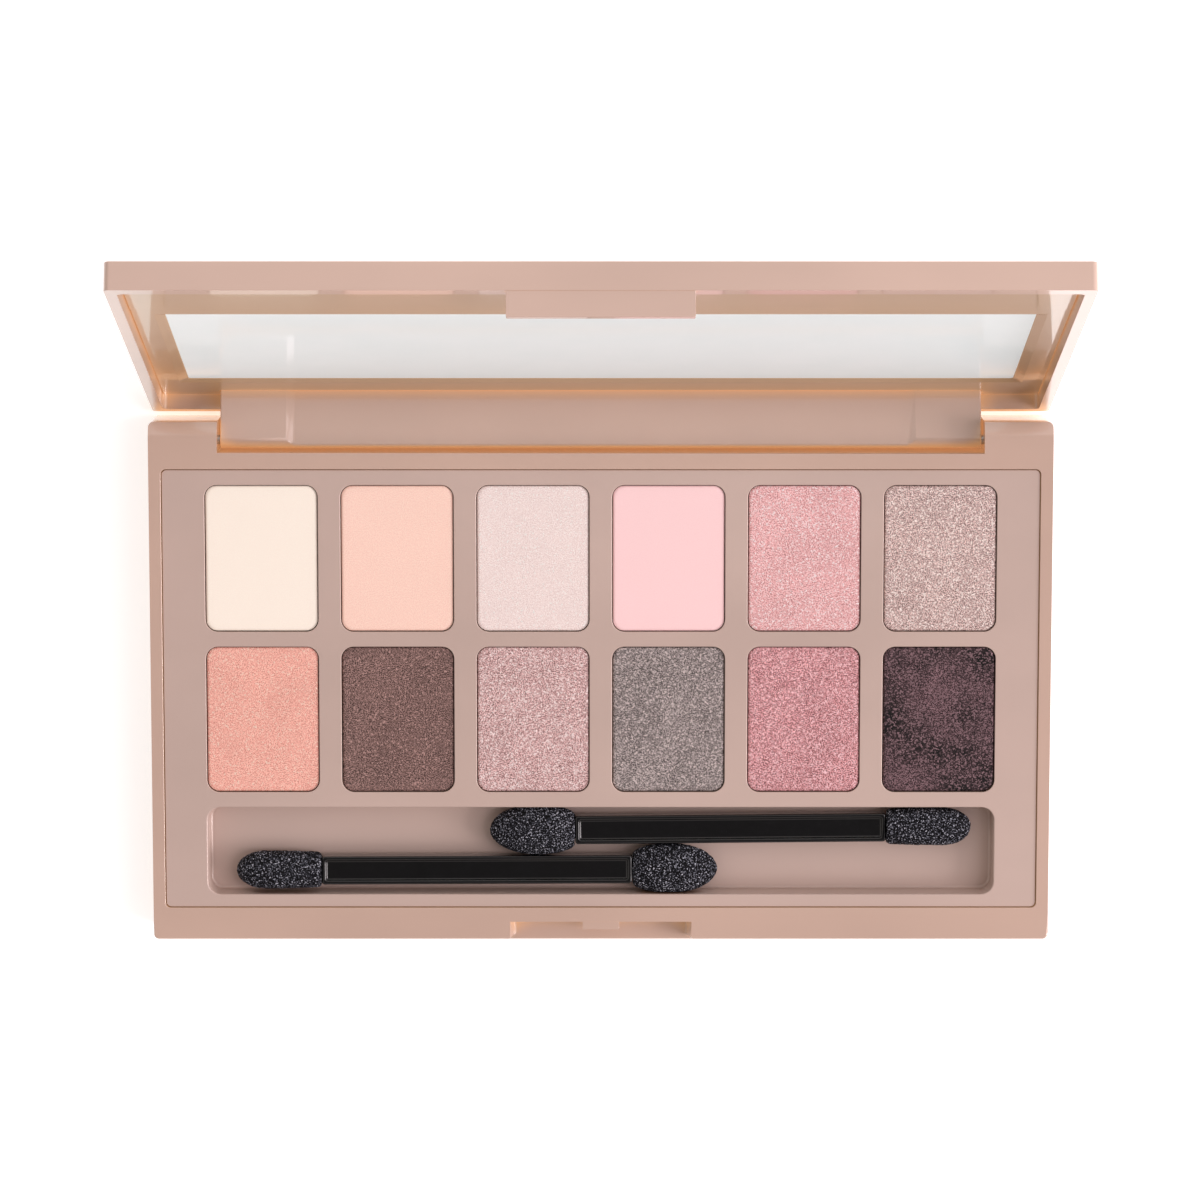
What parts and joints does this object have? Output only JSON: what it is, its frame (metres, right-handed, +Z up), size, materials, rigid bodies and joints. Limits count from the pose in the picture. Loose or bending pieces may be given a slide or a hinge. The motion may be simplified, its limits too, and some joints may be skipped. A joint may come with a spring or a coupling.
{
  "type": "eyeshadow palette",
  "caption": "Slim hinged makeup palette: pressed powders in metal pans, a lid with an inset mirror and snap tab, and double-ended sponge applicators lying in a trough.",
  "frame": {"origin": "centre of the base's underside, on the surface it rests on", "axes": "+X to the user's right, +Y from the latch to the hinge, +Z up out of the open base"},
  "size_m": [0.14, 0.1122, 0.0798],
  "materials": {
    "shell_plastic": "semi-gloss pearl beige pink moulding",
    "tray_plastic": "fine matt beige pink moulding",
    "pan_alloy": "satin stamped pan",
    "pin_steel": "drawn steel wire",
    "mirror_face": "mirror with a slightly hazy, pale face",
    "adhesive": "thin double-sided adhesive",
    "label_film": "plain unprinted film",
    "stem_plastic": "gloss black moulding",
    "tip_foam": "open-cell black sponge",
    "powder_cream": "pressed powder, matt cream",
    "powder_peach": "pressed powder, satin peach",
    "powder_champagne": "pressed powder, satin beige pink",
    "powder_baby_pink": "pressed powder, matt baby pink",
    "powder_coral_pink": "pressed powder, coral pink shimmer",
    "powder_taupe_pink": "pressed powder, taupe pink shimmer",
    "powder_coral_peach": "pressed powder, fine coral satin",
    "powder_brown": "pressed powder, matt brown",
    "powder_dusty_pink": "pressed powder, dusty pink shimmer",
    "powder_grey_taupe": "pressed powder, grey taupe shimmer",
    "powder_rose": "pressed powder, rose shimmer",
    "powder_plum": "pressed powder, dark plum shimmer"
  },
  "bodies": {
    "base": {"base_shell": "shell_plastic", "pan_tray": "tray_plastic", "pan_adhesive": "adhesive", "bottom_label": "label_film", "pan_1": "pan_alloy", "pan_2": "pan_alloy", "pan_3": "pan_alloy", "pan_4": "pan_alloy", "pan_5": "pan_alloy", "pan_6": "pan_alloy", "pan_7": "pan_alloy", "pan_8": "pan_alloy", "pan_9": "pan_alloy", "pan_10": "pan_alloy", "pan_11": "pan_alloy", "pan_12": "pan_alloy", "powder_1": "powder_cream", "powder_2": "powder_peach", "powder_3": "powder_champagne", "powder_4": "powder_baby_pink", "powder_5": "powder_coral_pink", "powder_6": "powder_taupe_pink", "powder_7": "powder_coral_peach", "powder_8": "powder_brown", "powder_9": "powder_dusty_pink", "powder_10": "powder_grey_taupe", "powder_11": "powder_rose", "powder_12": "powder_plum", "hinge_pin_left": "pin_steel", "hinge_pin_right": "pin_steel"},
    "lid": {"lid_shell": "shell_plastic", "mirror_frame": "shell_plastic", "mirror": "mirror_face", "mirror_tape": "adhesive"},
    "front_applicator": {"front_applicator_stem": "stem_plastic", "front_applicator_oval_tip": "tip_foam", "front_applicator_pointed_tip": "tip_foam"},
    "rear_applicator": {"rear_applicator_stem": "stem_plastic", "rear_applicator_oval_tip": "tip_foam", "rear_applicator_pointed_tip": "tip_foam"}
  },
  "joints": [
    {"name": "lid_hinge", "type": "hinge", "parent": "base", "child": "lid", "pos_m": [0, 0.0375, 0.006], "axis": [-1, 0, 0], "range_deg": [-108.1, 5]},
    {"name": "front_applicator_lift", "type": "slide", "parent": "base", "child": "front_applicator", "axis": [0, 0, 1], "range_m": [0, 0.035]},
    {"name": "rear_applicator_lift", "type": "slide", "parent": "base", "child": "rear_applicator", "axis": [0, 0, 1], "range_m": [0, 0.035]}
  ]
}
